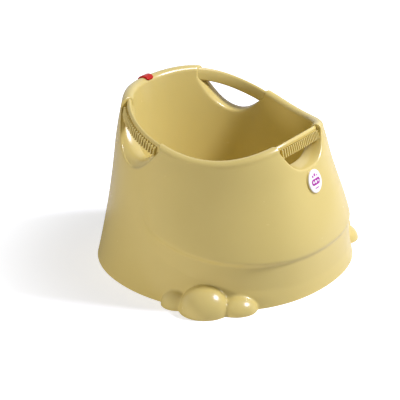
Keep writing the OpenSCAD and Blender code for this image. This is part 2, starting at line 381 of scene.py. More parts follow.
def up_to_rim(edge, axis, out):
    """Cuts a smile off under the rim and carries its ends up to it, in evenly spaced points"""
    rim = rim_z(turn_where(axis, out, edge[:, 0]))
    kept = edge[edge[:, 1] < rim - under_rim]
    ends = [[kept[k, 0], rim_z(turn_where(axis, out, kept[k, 0]))] for k in (0, -1)]
    line = np.vstack([ends[:1], kept, ends[1:]])
    run = np.concatenate([[0], np.cumsum(np.linalg.norm(np.diff(line, axis=0), axis=1))])
    places = np.linspace(0, run[-1], edge_count)
    return np.stack([np.interp(places, run, line[:, k]) for k in range(2)], axis=-1)


def meet_wall(section, edge, axis):
    """Turns at which the points of an edge, carried straight out, meet a wall"""
    across, z = edge[:, 0], edge[:, 1]
    turn = np.full(len(edge), axis * side_middle_turn)
    for _ in range(meet_rounds):
        radius, shift = section(turn, z)
        if axis == 0:
            turn = np.degrees(np.arctan2(across, np.sqrt(radius ** 2 - across ** 2)))
        else:
            turn = np.degrees(np.arctan2(np.sqrt(radius ** 2 - (across - shift) ** 2), shift - across))
    return turn


print("a side notch is", round(float(np.ptp(side_outer[:, 0]))), "mm wide outside")

# %% [markdown]
# ## One skin from floor to floor
#
# The skin is a grid. Its rows are rings round the tub, and its columns run up the skirt, over the roll
# and down the basin. The way along a column is measured in millimetres, so that any point of the skin
# is a turn and a way. Cells around a notch or a foot are left out, and a Delaunay triangulation fills
# each such window up to the notch's own edge, so the lip is a true clean curve and not a staircase.

# %% Columns and rows
half_turn = np.linspace(0, 180, 88, endpoint=False)
turns = np.concatenate([[-180], -half_turn[:0:-1], half_turn])
columns = len(turns)
skirt_way = 236.0
roll_way = 29.0
basin_way = 188.0
turn_way = 2.85
skirt_rows = np.concatenate([
    np.linspace(0, 0.2, 13, endpoint=False),
    np.linspace(0.2, 0.42, 25, endpoint=False),
    np.linspace(0.42, 1, 34),
])
roll_rows = np.linspace(180, 0, 17)[1:]
basin_rows = np.linspace(0, 1, 41)[1:]
corner_rows = np.linspace(0, 90, 9)[1:]
floor_rows = np.linspace(1, 0, 8)[1:-1]
way_rows = np.concatenate([
    skirt_rows * skirt_way,
    skirt_way + (1 - roll_rows / 180) * roll_way,
    skirt_way + roll_way + basin_rows * basin_way,
])


def skin_at(turn, way):
    """Points of the skin at turns and ways"""
    turn = np.asarray(turn, dtype=float)
    way = np.broadcast_to(way, turn.shape)
    top = rim_z(turn)
    skirt = wall_point(skirt_section, turn, top * np.clip(way / skirt_way, 0, 1))
    over = 180 * (1 - np.clip((way - skirt_way) / roll_way, 0, 1))
    roll = rim_point(turn, roll_w / 2 * (1 - cosd(over)), roll_h * sind(over))
    down = np.clip((way - skirt_way - roll_way) / basin_way, 0, 1)
    basin = wall_point(basin_section, turn, lerp(top, floor_z + corner_r, down))
    near_roll = (way > skirt_way)[:, None]
    near_basin = (way > skirt_way + roll_way)[:, None]
    return np.where(near_basin, basin, np.where(near_roll, roll, skirt))


def corner_points(turn, over):
    """Points of the round corner between basin and floor, at an angle down from the wall"""
    radius = floor_r - corner_r + corner_r * cosd(over) + 0 * turn
    return round_point(turn, radius, 0, floor_z + corner_r - corner_r * sind(over))


print(columns, "columns and", len(way_rows) + len(corner_rows) + len(floor_rows), "rows")

# %% Points of the grid
points = []
faces = []


def add_points(new):
    """Adds points to the skin and gives back their numbers"""
    first = len(points)
    points.extend(np.asarray(new).tolist())
    return list(range(first, len(points)))


def row_points(way):
    """One row of the grid, with the toes pushed out where it is on the skirt"""
    row = skin_at(turns, way)
    return push_toes(row) if way < skirt_way else row


grid = [add_points(row_points(way)) for way in way_rows]
grid += [add_points(corner_points(turns, over)) for over in corner_rows]
floor_edge = corner_points(turns, 90)
grid += [add_points(floor_edge * np.array([share, share, 1])) for share in floor_rows]
pole = add_points([[0, 0, floor_z]])[0]
print(len(grid), "rows,", len(points), "points")

# %% [markdown]
# A window is a rectangle of the grid. Its filling is worked out flat, with the turn along one side and
# the way along the other, both stretched to about a millimetre for each unit.

# %% Filling a window
edge_gap = 1.6
least_area = 1e-6
same_spot = 1e-5
windows = []


def inside_loop(loop, spots):
    """Which spots lie inside a closed flat loop"""
    found = np.zeros(len(spots), dtype=bool)
    nxt = np.roll(loop, -1, axis=0)
    for (x0, y0), (x1, y1) in zip(loop, nxt):
        crosses = (y0 > spots[:, 1]) != (y1 > spots[:, 1])
        slope_x = x0 + (spots[:, 1] - y0) * (x1 - x0) / (y1 - y0 if y1 != y0 else 1e-12)
        found ^= crosses & (spots[:, 0] < slope_x)
    return found


def window_edge(r0, r1, c0, c1):
    """Numbers of the grid's points round a window, one after the other"""
    edge = [grid[r0][c] for c in range(c0, c1 + 1)] + [grid[r][c1] for r in range(r0 + 1, r1 + 1)]
    edge += [grid[r1][c] for c in range(c1 - 1, c0 - 1, -1)]
    return edge + [grid[r][c0] for r in range(r1 - 1, r0, -1)]


def flat_net(flat, loops, inner):
    """Delaunay triangles between flat points, with every side of the loops kept"""
    order = [i for ids in loops for i in ids] + inner
    number = {i: k for k, i in enumerate(order)}
    ties = [(number[a], number[b]) for ids in loops for a, b in zip(ids, ids[1:] + ids[:1])]
    triangles, sources = delaunay_2d_cdt([Vector(flat[i]) for i in order], ties, [], 0, same_spot)[2:4]
    back = [order[source[0]] for source in sources]
    return np.array([[back[k] for k in triangle] for triangle in triangles])


def fill_window(low, high, left, right, hole=None, extra=None):
    """Fills the grid between two ways and two turns, round a hole or through extra points"""
    r0, r1 = int(np.searchsorted(way_rows, low)), int(np.searchsorted(way_rows, high))
    c0, c1 = int(np.searchsorted(turns, left)), int(np.searchsorted(turns, right))
    windows.append((r0, r1, c0, c1))
    flat = {grid[r][c]: (turns[c] * turn_way, way_rows[r])
            for r in range(r0, r1 + 1) for c in range(c0, c1 + 1)}
    edge = window_edge(r0, r1, c0, c1)
    inner = [i for i in flat if i not in edge]
    loops = []
    if hole is not None:
        loop, loop_ids = hole
        spots = np.array([flat[i] for i in inner])
        gaps = np.min(np.linalg.norm(spots[:, None, :] - loop[None, :, :], axis=2), axis=1)
        clear = ~inside_loop(loop, spots) & (gaps > edge_gap)
        inner = [i for i, free in zip(inner, clear) if free]
        flat.update({i: tuple(p) for i, p in zip(loop_ids, loop)})
        loops.append(loop_ids)
    if extra is not None:
        turn, way = extra
        ids = add_points(push_toes(skin_at(turn, way)))
        flat.update({i: (t * turn_way, w) for i, t, w in zip(ids, turn, way)})
        ground = [i for i, w in zip(ids, way) if w == 0]
        bottom = sorted(ground + [grid[0][c0], grid[0][c1]], key=lambda i: flat[i][0])
        edge = bottom + edge[c1 - c0 + 1:]
        inner = [i for i in ids if i not in ground]
    triangles = flat_net(flat, [edge] + loops, inner)
    a, b, c = (np.array([flat[i] for i in triangles[:, k]]) for k in range(3))
    turned = (b - a)[:, 0] * (c - a)[:, 1] - (b - a)[:, 1] * (c - a)[:, 0]
    kept = np.abs(turned) > least_area
    if hole is not None:
        kept &= ~inside_loop(hole[0], (a + b + c) / 3)
    for ids, way in zip(triangles[kept].tolist(), turned[kept]):
        faces.append(ids if way > 0 else ids[::-1])


# %% [markdown]
# The edge of a notch is one closed loop: along the smile on the outer wall, over the roll, back along
# the smile on the inner wall and over the roll again. Each station of the outer half has its partner on
# the inner half, and the collar is the ribbon between them. A rounded lip joins collar and wall.

# %% Notches with rounded lips
lip_r = 2.4
lip_more = 1.0
collar_rise = {0: 3.0, 1: 15.0}
collar_fade = 30.0
collar_bend = 3
lip_steps = 5
collar_steps = 9
quarter = np.linspace(180, 90, 9)[1:]
# Shares of the skirt and of the basin, and the turns, between which a notch's window lies
notch_windows = {0: (0.74, 0.34, -38, 38), 1: (0.68, 0.42, 80, 158)}


def grow(loop, by):
    """Moves a loop that runs anticlockwise outwards"""
    along = np.roll(loop, -1, axis=0) - np.roll(loop, 1, axis=0)
    along /= np.linalg.norm(along, axis=1)[:, None]
    return loop + by[:, None] * np.stack([along[:, 1], -along[:, 0]], axis=-1)


def notch_half(axis, outer):
    """Turns, ways, inward directions and depths from 0 to 1 of one half of a notch's edge"""
    edge_out = roll_w if outer else 0.0
    edge = up_to_rim(notch_smiles[axis][0 if outer else 1], axis, edge_out)
    section = skirt_section if outer else basin_section
    turn = meet_wall(section, edge, axis)
    top = rim_z(turn)
    if outer:
        way = edge[:, 1] / top * skirt_way
    else:
        way = skirt_way + roll_way + (top - edge[:, 1]) / (top - floor_z - corner_r) * basin_way
    over = quarter if outer else 180 - quarter
    out = roll_w / 2 * (1 - cosd(over))
    roll_at = skirt_way + (1 - over / 180) * roll_way
    other = up_to_rim(notch_smiles[axis][1 if outer else 0], axis, roll_w - edge_out)
    share = np.abs(out - edge_out) / roll_w
    ends = [np.array([turn_where(axis, o, lerp(edge[k, 0], other[k, 0], t)) for o, t in zip(out, share)])
            for k in (0, -1)]
    inward = np.array([0.0, 1, 0]) if axis == 0 else np.array([-1.0, 0, 0])
    flat_way = inward if outer else -inward
    bend = flat_way * np.abs(cosd(over))[:, None] + np.array([0, 0, -1]) * sind(over)[:, None]
    deep = smooth((top - edge[:, 1]) / collar_fade)
    return (np.concatenate([ends[0][::-1], turn, ends[1]]),
            np.concatenate([roll_at[::-1], way, roll_at]),
            np.vstack([bend[::-1], np.tile(flat_way, (len(turn), 1)), bend]),
            np.pad(deep, len(over)))


def lip_rings(turn, way, wide, inward, radius):
    """Rings of points from the skin round a notch's edge and into the notch, on a quarter circle"""
    corner = skin_at(turn, way)
    edge = skin_at(wide[:, 0] / turn_way, wide[:, 1])
    deep = corner + inward * radius[:, None]
    rings = [edge]
    for angle in np.linspace(0, 90, lip_steps + 1)[1:]:
        rings.append(corner + (edge - corner) * (1 - sind(angle)) + (deep - corner) * (1 - cosd(angle)))
    return rings


def collar_rows(ids, size, rise):
    """Rows of points from the outer half of a notch's last ring to its inner half"""
    outer = ids[:size]
    inner = [ids[0]] + ids[:size - 2:-1]
    outer_points, inner_points = (np.array([points[i] for i in row]) for row in (outer, inner))
    rows = [outer]
    for share in np.linspace(0, 1, collar_steps + 1)[1:-1]:
        ruled = lerp(outer_points, inner_points, share)
        ruled[:, 2] += rise * (1 - (1 - share) ** collar_bend - share)
        rows.append([outer[0]] + add_points(ruled[1:-1]) + [outer[-1]])
    return rows + [inner]


def quads_between(rows, closed):
    """Quads between rows of numbers; where two rows share an end, a triangle"""
    for near, far in zip(rows, rows[1:]):
        for k in range(len(near) if closed else len(near) - 1):
            n = (k + 1) % len(near)
            yield list(dict.fromkeys([near[k], near[n], far[n], far[k]]))


def cut_notch(axis, mirror):
    """One notch: a window in the skin, the rounded lip and the collar"""
    outer, inner = notch_half(axis, True), notch_half(axis, False)
    size = len(outer[0])
    turn, way, inward, sunk = (np.concatenate([p, q[-2:0:-1]]) for p, q in zip(outer, inner))
    radius = lip_r + lip_more * sunk
    wide = grow(np.stack([turn * turn_way, way], axis=-1), radius)
    rings = lip_rings(turn, way, wide, inward, radius)
    ids = [add_points(ring * np.array([mirror, 1, 1])) for ring in rings]
    rows = collar_rows(ids[-1], size, collar_rise[axis] * sunk[:size])
    quads = list(quads_between(ids, True)) + list(quads_between(rows, False))
    faces.extend(quad[::mirror] for quad in quads)
    wide[:, 0] *= mirror
    skirt_share, basin_share, *ends = notch_windows[axis]
    left, right = sorted(mirror * turn for turn in ends)
    high = skirt_way + roll_way + basin_share * basin_way
    fill_window(skirt_share * skirt_way, high, left, right, hole=(wide, ids[0]))


for axis, mirror in ((0, 1), (1, -1), (1, 1)):
    cut_notch(axis, mirror)
print("three notches,", len(points), "points,", len(faces), "faces")

# %% [markdown]
# The toes curve much more than the wall, so the windows at the feet get a finer net of points.

# %% Windows of the feet
foot_top = 62.0
foot_step = 2.2
foot_turns = (39, 95)
foot_window = (37, 96.5)
foot_share = 0.27
base_degree = 3.6
for side in (-1, 1):
    angles = np.arange(*foot_turns, foot_step / base_degree)
    ways = np.arange(0, foot_top, foot_step)
    turn, way = [v.ravel() for v in np.meshgrid(side * angles, ways)]
    left, right = sorted(side * end for end in foot_window)
    fill_window(0, foot_share * skirt_way, left, right, extra=(turn, way))
print("feet filled,", len(points), "points")

# %% The rest of the grid
taken = set()
for r0, r1, c0, c1 in windows:
    taken.update((r, c) for r in range(r0, r1) for c in range(c0, c1))
for r in range(len(grid) - 1):
    for c in range(columns):
        if (r, c) not in taken:
            d = (c + 1) % columns
            faces.append([grid[r][c], grid[r][d], grid[r + 1][d], grid[r + 1][c]])
for c in range(columns):
    faces.append([grid[-1][c], grid[-1][(c + 1) % columns], pole])
tub = mesh_object("tub", points, faces)
print("skin has", len(tub.data.polygons), "faces")

# %% [markdown]
# ## Thickness
#
# The moulding is 3 mm thick. Solidify lays the second skin on the hidden side, so the hollow between
# the walls, open underneath, is really there.

# %% Solidify the skin
tub_sharp = 40
solid = tub.modifiers.new("wall", "SOLIDIFY")
solid.thickness = wall * MM
solid.offset = -1
bake_modifiers(tub)
places = np.empty(3 * len(tub.data.vertices))
tub.data.vertices.foreach_get("co", places)
places = np.clip(places.reshape(-1, 3), cad_box[0], cad_box[1])
tub.data.vertices.foreach_set("co", places.ravel())
tub.data.set_sharp_from_angle(angle=math.radians(tub_sharp))
print("tub has", sum(len(p.vertices) - 2 for p in tub.data.polygons), "triangles")

# %% [markdown]
# ## Finishes
#
# Each material starts from what the real one is. One function adds a node with its settings and its
# links, and one turns a designer's sRGB colour into the linear values of a shader.

# %% Helpers for materials
drift_mm = 90.0
haze_mm = 14.0
bump_mm = 0.002


def srgb(code):
    """Linear colour from a hex value"""
    parts = [int(code[k:k + 2], 16) / 255 for k in (1, 3, 5)]
    return [v / 12.92 if v <= 0.04045 else ((v + 0.055) / 1.055) ** 2.4 for v in parts] + [1]


def add(tree, kind, inputs=None, **settings):
    """Adds a node; an input that is a socket, or a node's first output, is linked, and any other is set"""
    made = tree.nodes.new(kind)
    for key, value in settings.items():
        setattr(made, key, value)
    for key, value in (inputs or {}).items():
        value = value.outputs[0] if isinstance(value, bpy.types.Node) else value
        if isinstance(value, bpy.types.NodeSocket):
            tree.links.new(value, made.inputs[key])
        else:
            made.inputs[key].default_value = value
    return made


def mix(tree, factor, first, second):
    """Mixes two colours; 6 and 7 are the node's inputs for colours, and 2 is its output for one"""
    made = add(tree, "ShaderNodeMix", {"Factor": factor, 6: first, 7: second}, data_type="RGBA")
    return made.outputs[2]


def new_material(name):
    material = bpy.data.materials.new(name)
    material.use_nodes = True
    material.node_tree.nodes.clear()
    return material, material.node_tree


def moulded(name, light, dark, roughness, peel_mm, **shader):
    """A moulded plastic or rubber: slow drift of colour and gloss, and a fine skin from the mould"""
    material, tree = new_material(name)
    place = add(tree, "ShaderNodeTexCoord").outputs["Object"]
    drift, haze, skin = (
        add(tree, "ShaderNodeTexNoise", {"Vector": place, "Scale": 1 / (grain * MM), "Detail": detail})
        for grain, detail in ((drift_mm, 2.0), (haze_mm, 4.0), (peel_mm, 2.0)))
    colour = mix(tree, drift, srgb(light), srgb(dark))
    gloss = add(tree, "ShaderNodeMapRange",
                {"Value": haze, "To Min": roughness * 0.92, "To Max": roughness * 1.1})
    bump = add(tree, "ShaderNodeBump", {"Height": skin, "Strength": 0.1, "Distance": bump_mm * MM})
    body = add(tree, "ShaderNodeBsdfPrincipled",
               {"Base Color": colour, "Normal": bump, "Roughness": gloss, **shader})
    add(tree, "ShaderNodeOutputMaterial", {"Surface": body})
    return material


# %% [markdown]
# Polypropylene from a polished mould is glossy but a little soft: light goes a few millimetres into
# it, which warms the shaded sides. The rubber is matt. The red clip is a small moulding with less gloss.

# %% Plastics and rubber
polypropylene = moulded("moulded polypropylene, pale yellow", "#D9C677", "#D5C170",
                        roughness=0.26, peel_mm=1.6,
                        **{"IOR": 1.49, "Subsurface Weight": 0.05, "Subsurface Scale": 0.004,
                           "Subsurface Radius": (1.0, 0.7, 0.3)})
rubber = moulded("moulded thermoplastic rubber, off-white", "#E9E4D6", "#E1DBCB",
                 roughness=0.6, peel_mm=0.7, **{"IOR": 1.5})
red_plastic = moulded("moulded polypropylene, red", "#CC1206", "#B81005",
                      roughness=0.3, peel_mm=1.2, **{"IOR": 1.3})
print("materials:", [m.name for m in (polypropylene, rubber, red_plastic)])


def finish_piece(piece, slot, material, *replaced):
    """Gives a piece its material, hangs it under the root body and hides the parts of the frame that it
    takes the place of
    """
    piece.data.materials.clear()
    piece.data.materials.append(material)
    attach(piece, "root")
    if replaced:
        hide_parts(*replaced)


# %% [markdown]
# ## The handle bars
#
# Each bar has its own small roll on top, set back from both walls and lower than the rim, and an outer
# face that leans like the wall. Its section is swept along the rim, and every point of the section runs
# on until it is well inside the collar, so the bar and the collar meet with no gap.

# %% Sweep of a bar
bar_in = 2.5
bar_out = 3.4
bar_drop = 3.2
bar_low = 15.5
arch_to = 145
bar_round = 2.2
bar_rings = 44
bar_search = {0: (-40, 40), 1: (80, 160)}
search_step = 0.05
face_step = 5.4
roll_over = 1.3
into_collar = 1.4
ledge_h = 1.2
lean_over = 12.0
face_out = roll_w - bar_out


def wall_lean(turn, section):
    """How much a wall's radius grows for each millimetre down from the rim"""
    top = rim_z(turn)
    return (section(turn, top - lean_over)[0] - section(turn, top)[0]) / lean_over


def bar_section():
    """Points of the section: out from the opening's edge, up from it, and which wall they lean with"""
    over = np.linspace(0, arch_to, 14)
    foot = face_out - face_step
    width = foot + roll_over - bar_in
    arch = [(bar_in + width / 2 * (1 - cosd(a)), roll_h * sind(a) - bar_drop, a / arch_to) for a in over]
    ledge = [(foot, arch[-1][1] - ledge_h, 1)]
    around = np.linspace(0, 90, 5)
    outer = [(foot - bar_round * (1 - cosd(a)), bar_round * (1 - sind(a)) - bar_low, 1) for a in around]
    inner = [(bar_in + bar_round * (1 - sind(a)), bar_round * (1 - cosd(a)) - bar_low, 0) for a in around]
    return np.array(arch + ledge + outer + inner, dtype=float)


def bar_point(turn, out, up, side):
    lean = lerp(wall_lean(turn, basin_section), wall_lean(turn, skirt_section), side)
    return rim_point(turn, out + lean * np.maximum(-up, 0), up)


def bar_ends(axis, out, up, side):
    """Turns at which a line along the bar has run into the collars"""
    t = np.arange(*bar_search[axis], search_step)
    line = bar_point(t, out, up, side)
    edge = lerp(notch_smiles[axis][1], notch_smiles[axis][0], np.clip(out / roll_w, 0, 1))
    free = line[:, 2] > np.interp(line[:, axis], edge[:, 0], edge[:, 1], left=1e9, right=1e9)
    more = np.degrees(into_collar / (rim_r + out))
    return t[free][0] - more, t[free][-1] + more


def make_bar(name, axis, mirror):
    section = bar_section()
    ends = np.array([bar_ends(axis, *row) for row in section])
    rings = []
    for share in np.linspace(0, 1, bar_rings):
        turn = lerp(ends[:, 0], ends[:, 1], share)
        rings.append(bar_point(turn, section[:, 0], section[:, 1], section[:, 2]))
    made = [quad[::mirror] for quad in ring_faces(bar_rings, len(section))]
    return mesh_object(name, np.vstack(rings) * np.array([mirror, 1, 1]), made, sharp_deg=50)


bars = [make_bar("front bar", 0, 1), make_bar("right bar", 1, 1), make_bar("left bar", 1, -1)]
print("bars", [len(b.data.polygons) for b in bars])

# %% [markdown]
# ## Grip ribs
#
# The ribs repeat along each bar, so Geometry Nodes places them: a path along the bar's outer face is
# resampled to the number of ribs, and one rounded rib stands on each point, turned to face outwards.

# %% One rib and the paths
rib_w = 2.6
rib_h = 14.6
rib_t = 5.8
rib_round = 0.7
rib_up = -6.8
rib_margin = 2.6
side_ribs = 21
front_ribs = 21
path_count = 61


def rounded_box(name, size, rounding, steps=3):
    """A box about its own centre with rounded edges"""
    x, y, z = (v / 2 for v in size)
    corners = [(sx * x, sy * y, sz * z) for sz in (-1, 1) for sy in (-1, 1) for sx in (-1, 1)]
    quads = [[0, 2, 3, 1], [4, 5, 7, 6], [0, 1, 5, 4], [2, 6, 7, 3], [0, 4, 6, 2], [1, 3, 7, 5]]
    made = mesh_object(name, corners, quads, sharp_deg=60)
    bevel = made.modifiers.new("edges", "BEVEL")
    bevel.width = rounding * MM
    bevel.segments = steps
    return bake_modifiers(made)


def rib_path(name, axis, mirror):
    """A line of points along a bar's face that carry their heading and lean"""
    first, last = bar_ends(axis, face_out, rib_up, 1)
    turn = np.linspace(first + rib_margin, last - rib_margin, path_count)
    line = bar_point(turn, np.full(path_count, face_out - rib_t / 2), np.full(path_count, rib_up), 1)
    mesh = bpy.data.meshes.new(name)
    mesh.from_pydata((line * np.array([mirror, 1, 1]) * MM).tolist(),
                     [[k, k + 1] for k in range(path_count - 1)], [])
    heading = mesh.attributes.new("heading", "FLOAT", "POINT")
    heading.data.foreach_set("value", np.radians(turn * mirror))
    tilt = mesh.attributes.new("tilt", "FLOAT", "POINT")
    tilt.data.foreach_set("value", -np.arctan(wall_lean(turn, skirt_section)))
    made = bpy.data.objects.new(name, mesh)
    bpy.context.scene.collection.objects.link(made)
    return made


rib = rounded_box("one rib", (rib_w, rib_t, rib_h), rib_round)
paths = [rib_path("front ribs", 0, 1), rib_path("right ribs", 1, 1), rib_path("left ribs", 1, -1)]
print("a rib has", len(rib.data.polygons), "faces")

# %% Node group of the ribs


def node_group(name, sockets):
    """An empty geometry node group with named inputs and one geometry output"""
    group = bpy.data.node_groups.new(name, "GeometryNodeTree")
    for label, kind, default in sockets:
        socket = group.interface.new_socket(label, in_out="INPUT", socket_type=kind)
        if default is not None:
            socket.default_value = default
    group.interface.new_socket("Geometry", in_out="OUTPUT", socket_type="NodeSocketGeometry")
    return group, group.nodes.new("NodeGroupInput").outputs


def finish_group(group, given, spots, shape, turned_by=None):
    """Puts a shape on every spot, makes the copies real, gives them the material and sends them out"""
    placed = add(group, "GeometryNodeInstanceOnPoints",
                 {"Points": spots, "Instance": shape, **(turned_by or {})})
    real = add(group, "GeometryNodeRealizeInstances", {"Geometry": placed})
    coated = add(group, "GeometryNodeSetMaterial", {"Geometry": real, "Material": given["Material"]})
    add(group, "NodeGroupOutput", {"Geometry": coated})


ribs_group, given = node_group("Grip ribs", [
    ("Path", "NodeSocketGeometry", None), ("Count", "NodeSocketInt", side_ribs),
    ("Rib", "NodeSocketObject", None), ("Material", "NodeSocketMaterial", None),
])
curve = add(ribs_group, "GeometryNodeMeshToCurve", {"Mesh": given["Path"]})
spaced = add(ribs_group, "GeometryNodeResampleCurve", {"Curve": curve, "Count": given["Count"]})
heading = add(ribs_group, "GeometryNodeInputNamedAttribute", {"Name": "heading"}, data_type="FLOAT")
tilt = add(ribs_group, "GeometryNodeInputNamedAttribute", {"Name": "tilt"}, data_type="FLOAT")
facing = add(ribs_group, "ShaderNodeCombineXYZ", {"X": tilt, "Z": heading})
shape = add(ribs_group, "GeometryNodeObjectInfo", {"Object": given["Rib"]})
finish_group(ribs_group, given, spaced, shape.outputs["Geometry"], {"Rotation": facing})
print("ribs group has", len(ribs_group.nodes), "nodes")

# %% Ribs on the bars


def finish_nodes(piece, group, settings):
    """Runs a node group on a piece and bakes what it makes"""
    modifier = piece.modifiers.new(group.name, "NODES")
    modifier.node_group = group
    for socket in group.interface.items_tree:
        if socket.in_out == "INPUT" and socket.name in settings:
            modifier[socket.identifier] = settings[socket.name]
    piece.update_tag()
    bake_modifiers(piece)


for path, count in zip(paths, (front_ribs, side_ribs, side_ribs)):
    finish_nodes(path, ribs_group, {"Count": count, "Rib": rib, "Material": polypropylene})
bpy.data.objects.remove(rib)
print("ribs", [len(p.data.polygons) for p in paths])

# %% [markdown]
# ## Bosses and the badge's seat
#
# Four round bosses under the basin floor carry the rubber feet. A round seat on the front wall stands
# square to the wall for the badge. Both belong to the moulding, so they are joined to its mesh.

# %% Turned shapes


def turned(name, profile, place, segments=64):
    """A solid turned about its own axis from (radius, height) pairs, then put in place by a matrix"""
    angles = np.linspace(0, 2 * np.pi, segments, endpoint=False)
    spots = [list(place @ Vector((radius * np.cos(a), radius * np.sin(a), height)))
             for radius, height in profile for a in angles]
    return mesh_object(name, spots, ring_faces(len(profile), segments), sharp_deg=50)


def rounded_profile(radius, low, high, rounding, steps=5):
    """Profile of a disc with a rounded top edge"""
    edge = [(radius - rounding * (1 - math.cos(a)), high - rounding * (1 - math.sin(a)))
            for a in np.linspace(0, math.pi / 2, steps)]
    return [(radius, low)] + edge


badge_z = 168.0
badge_r = 19.0
badge_edge = 1.4
badge_rise = 1.8
seat_r = 20.5
seat_out = 1.4
seat_deep = 1.2
seat_round = 0.5
foot_at = 62.0
boss_r = 17.0
boss_low = 6.0
boss_high = 33.0
on_wall = wall_point(skirt_section, np.array([0.0]), np.array([badge_z]))[0]
seat_place = on_wall - np.array([0, seat_out, 0])
wall_ends = wall_point(skirt_section, np.zeros(2), np.array([badge_z - badge_r, badge_z + badge_r]))
badge_tilt = math.atan2(wall_ends[1, 1] - wall_ends[0, 1], 2 * badge_r)
on_seat = Matrix.Translation(Vector(seat_place)) @ Matrix.Rotation(math.pi / 2 - badge_tilt, 4, "X")
seat = turned("badge_seat", rounded_profile(seat_r, -seat_out - seat_deep, 0, seat_round), on_seat)
bosses = []
for x in (-foot_at, foot_at):
    for y in (-foot_at, foot_at):
        boss = [(boss_r, boss_low), (boss_r, boss_high)]
        bosses.append(turned("boss", boss, Matrix.Translation((x, y, 0)), segments=48))
print("seat leans", round(math.degrees(badge_tilt), 1), "degrees")

# %% One moulding


def join(main, others):
    """Adds other meshes to a piece, because one moulding is one mesh"""
    whole = bmesh.new()
    for piece in [main] + others:
        whole.from_mesh(piece.data)
    whole.to_mesh(main.data)
    whole.free()
    for piece in others:
        bpy.data.objects.remove(piece)


join(tub, bars + paths + [seat] + bosses)
finish_piece(tub, "tub_plastic", polypropylene, "tub_shell")
print("tub has", sum(len(p.vertices) - 2 for p in tub.data.polygons), "triangles")

# %% [markdown]
# ## Badge
#
# A white printed disc with a soft dome. Its print is made in the material: a purple capsule with bubbles
# over it, in the flat coordinates of the disc.

# %% Print of the badge


capsules = [(0, -1, 7.5, 5.2), (-6.5, 8.6, 0, 2.0), (-0.5, 10.2, 0, 2.6), (6.0, 8.4, 0, 1.6),
            (0, -11.2, 5.0, 0.9)]
holes = [(-7.4, -1, 2.2), (-1.2, -1, 2.6), (5.6, -0.6, 1.8), (9.6, -1.6, 1.2)]
print_soft = 0.1


def print_material(name, paper, ink):
    """White resin with a print of one capsule and some bubbles, drawn in millimetres on the disc"""
    material, tree = new_material(name)
    place = add(tree, "ShaderNodeTexCoord").outputs["Object"]
    local = add(tree, "ShaderNodeMapping", {
        "Vector": place, "Location": [v * MM for v in seat_place],
        "Rotation": (math.pi / 2 - badge_tilt, 0, 0), "Scale": (MM, MM, MM)}, vector_type="TEXTURE")
    flat = add(tree, "ShaderNodeSeparateXYZ", {"Vector": local})

    def math_node(operation, *values):
        return add(tree, "ShaderNodeMath", dict(enumerate(values)), operation=operation)

    def capsule(x, y, half, radius):
        """1 inside a capsule that lies along x, 0 outside"""
        across = math_node("ABSOLUTE", math_node("SUBTRACT", flat.outputs[0], x))
        along = math_node("SUBTRACT", across, half)
        away = add(tree, "ShaderNodeCombineXYZ", {"X": math_node("MAXIMUM", along, 0.0),
                                                  "Y": math_node("SUBTRACT", flat.outputs[1], y)})
        length = add(tree, "ShaderNodeVectorMath", {0: away}, operation="LENGTH")
        return add(tree, "ShaderNodeMapRange", {
            "Value": length.outputs["Value"], "From Min": radius - print_soft,
            "From Max": radius + print_soft, "To Min": 1.0, "To Max": 0.0})

    inked = capsule(*capsules[0])
    for row in capsules[1:]:
        inked = math_node("MAXIMUM", inked, capsule(*row))
    for x, y, radius in holes:
        inked = math_node("SUBTRACT", inked, capsule(x, y, 0, radius))
    inked = math_node("MAXIMUM", inked, 0.0)
    body = add(tree, "ShaderNodeBsdfPrincipled", {
        "Base Color": mix(tree, inked, srgb(paper), srgb(ink)), "Roughness": 0.12, "IOR": 1.5,
        "Coat Weight": 0.5, "Coat Roughness": 0.05})
    add(tree, "ShaderNodeOutputMaterial", {"Surface": body})
    return material


badge_print = print_material("domed resin over a print", "#F4F2F1", "#AC1498")
print("badge print has", len(badge_print.node_tree.nodes), "nodes")

# %% Badge
dome_steps = np.linspace(0.03, 0.97, 16)
dome = [(badge_r, 0.0), (badge_r, badge_edge - 0.5), (badge_r - 0.15, badge_edge - 0.1)]
for share in dome_steps:
    angle = share * math.pi / 2
    dome.append((badge_r * math.cos(angle), badge_edge + badge_rise * math.sin(angle) ** 2))
badge = turned("badge", dome, on_seat)
finish_piece(badge, "badge_plastic", badge_print, "badge")
print("badge at", [round(v, 1) for v in seat_place])

# %% [markdown]
# ## Clip
#
# The red clip is a thin saddle over the back of the rim. It follows the roll with a hair of air under
# it, and its edges are rounded.

# %% Clip
clip_turn = 180.5
clip_half = 10.0
clip_t = 2.4
clip_gap = 0.35
clip_from = 28.0
clip_to = 168.0
clip_round = 5.5
clip_straight = 0.55
clip_rows = 17
clip_columns = 25
edge_share = 0.22
edge_least = 0.25


def clip_skin(lift):
    """Points over the roll, lifted off it, in the clip's own rounded outline"""
    middle, reach = (clip_from + clip_to) / 2, (clip_to - clip_from) / 2
    over = np.linspace(clip_from, clip_to, clip_rows)[:, None]
    past = np.maximum(np.abs(over - middle) / reach - clip_straight, 0) / (1 - clip_straight)
    half = clip_half - clip_round * (1 - np.sqrt(np.maximum(1 - past ** 2, 0)))
    turn = clip_turn + np.degrees(half * np.linspace(-1, 1, clip_columns) / rim_at(clip_turn))
    out = roll_w / 2 - (roll_w / 2 + lift) * cosd(over)
    return rim_point(turn, out + 0 * turn, (roll_h + lift) * sind(over)).reshape(-1, 3)


